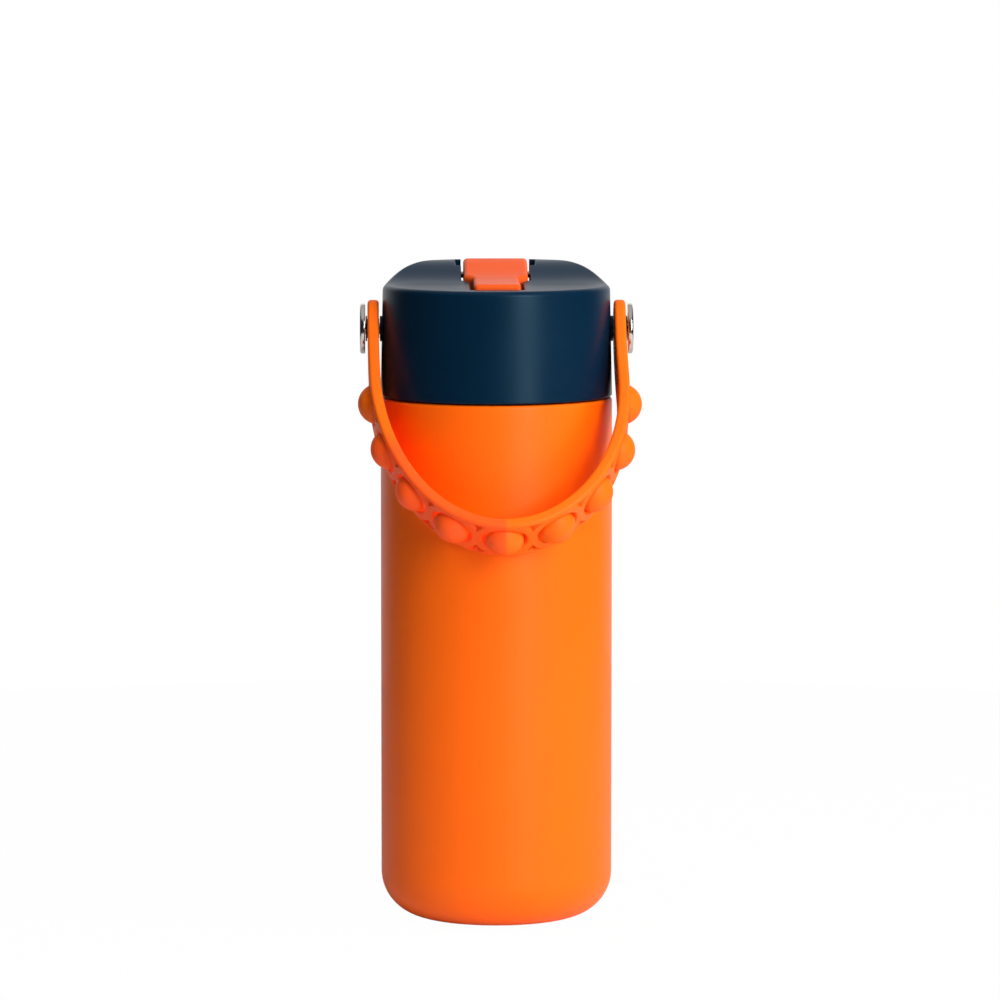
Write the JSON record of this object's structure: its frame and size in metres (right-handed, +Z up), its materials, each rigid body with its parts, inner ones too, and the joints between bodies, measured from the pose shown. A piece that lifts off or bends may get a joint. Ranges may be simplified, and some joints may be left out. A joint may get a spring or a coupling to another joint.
{
  "type": "insulated drinking bottle",
  "caption": "Straight-walled insulated bottle with a navy screw lid, an orange flip spout over a straw, and a silicone carry strap with pop bubbles on polished studs.",
  "frame": {"origin": "centre of the flat underside of the base pad", "axes": "+Z up along the bottle's axis, -Y to the front where the strap hangs, +X to the right seen from the front"},
  "size_m": [0.0847, 0.0864, 0.1988],
  "materials": {
    "powder_coat": "fine matte orange powder coat over steel",
    "steel": "drawn stainless steel",
    "solder": "dull solder",
    "getter_metal": "grey sintered metal",
    "pad_silicone": "matte navy silicone",
    "seal_silicone": "milky silicone",
    "lid_plastic": "satin navy moulded plastic",
    "liner_plastic": "white moulded plastic",
    "straw_plastic": "translucent white plastic",
    "spout_plastic": "satin orange moulded plastic",
    "pin_steel": "ground steel",
    "stud_chrome": "polished stainless steel",
    "bush_plastic": "black nylon",
    "brass": "knurled brass",
    "strap_silicone": "matte orange silicone"
  },
  "bodies": {
    "bottle": {"outer_shell": "powder_coat", "inner_flask": "steel", "vacuum_seal": "solder", "getter": "getter_metal", "base_pad": "pad_silicone"},
    "gasket": {"lid_gasket": "seal_silicone"},
    "lid": {"cap_shell": "lid_plastic", "cap_liner": "liner_plastic", "spout_seat": "seal_silicone", "vent_valve": "seal_silicone", "straw_adapter": "seal_silicone", "straw": "straw_plastic", "stud_left": "stud_chrome", "stud_right": "stud_chrome", "stud_insert_left": "brass", "stud_insert_right": "brass", "strap_bush_left": "bush_plastic", "strap_bush_right": "bush_plastic", "spout_pin_left": "pin_steel", "spout_pin_right": "pin_steel"},
    "spout": {"flip_spout": "spout_plastic"},
    "strap": {"strap": "strap_silicone"},
    "popper_1": {"popper_1": "strap_silicone"},
    "popper_2": {"popper_2": "strap_silicone"},
    "popper_3": {"popper_3": "strap_silicone"},
    "popper_4": {"popper_4": "strap_silicone"},
    "popper_5": {"popper_5": "strap_silicone"},
    "popper_6": {"popper_6": "strap_silicone"},
    "popper_7": {"popper_7": "strap_silicone"},
    "popper_8": {"popper_8": "strap_silicone"},
    "popper_9": {"popper_9": "strap_silicone"}
  },
  "joints": [
    {"name": "lid_lift", "type": "slide", "parent": "bottle", "child": "gasket", "axis": [0, 0, 1], "range_m": [0, 0.006]},
    {"name": "lid_turn", "type": "hinge", "parent": "gasket", "child": "lid", "pos_m": [0, 0, 0.159], "axis": [0, 0, 1], "range_deg": [0, 540]},
    {"name": "spout_flip", "type": "hinge", "parent": "lid", "child": "spout", "pos_m": [0, 0.0246, 0.19381], "axis": [-1, 0, 0], "range_deg": [0, 90]},
    {"name": "strap_swing", "type": "hinge", "parent": "lid", "child": "strap", "pos_m": [0, 0, 0.1791], "axis": [-1, 0, 0], "range_deg": [0, 286]},
    {"name": "popper_1_push", "type": "slide", "parent": "strap", "child": "popper_1", "axis": [0.9929, 0.0715, 0.095], "range_m": [0, 0.0022]},
    {"name": "popper_2_push", "type": "slide", "parent": "strap", "child": "popper_2", "axis": [0.94, 0.205, 0.2727], "range_m": [0, 0.0022]},
    {"name": "popper_3_push", "type": "slide", "parent": "strap", "child": "popper_3", "axis": [0.8187, 0.3451, 0.4589], "range_m": [0, 0.0022]},
    {"name": "popper_4_push", "type": "slide", "parent": "strap", "child": "popper_4", "axis": [0.5307, 0.5094, 0.6774], "range_m": [0, 0.0022]},
    {"name": "popper_5_push", "type": "slide", "parent": "strap", "child": "popper_5", "axis": [0.0112, 0.601, 0.7992], "range_m": [0, 0.0022]},
    {"name": "popper_6_push", "type": "slide", "parent": "strap", "child": "popper_6", "axis": [-0.5153, 0.5151, 0.6849], "range_m": [0, 0.0022]},
    {"name": "popper_7_push", "type": "slide", "parent": "strap", "child": "popper_7", "axis": [-0.818, 0.3457, 0.4597], "range_m": [0, 0.0022]},
    {"name": "popper_8_push", "type": "slide", "parent": "strap", "child": "popper_8", "axis": [-0.9605, 0.1672, 0.2223], "range_m": [0, 0.0022]},
    {"name": "popper_9_push", "type": "slide", "parent": "strap", "child": "popper_9", "axis": [-0.9998, 0.013, 0.0173], "range_m": [0, 0.0022]}
  ],
  "couplings": [
    {"joint": "lid_lift", "follows": "lid_turn", "m_per_rad": 0.00063662}
  ]
}
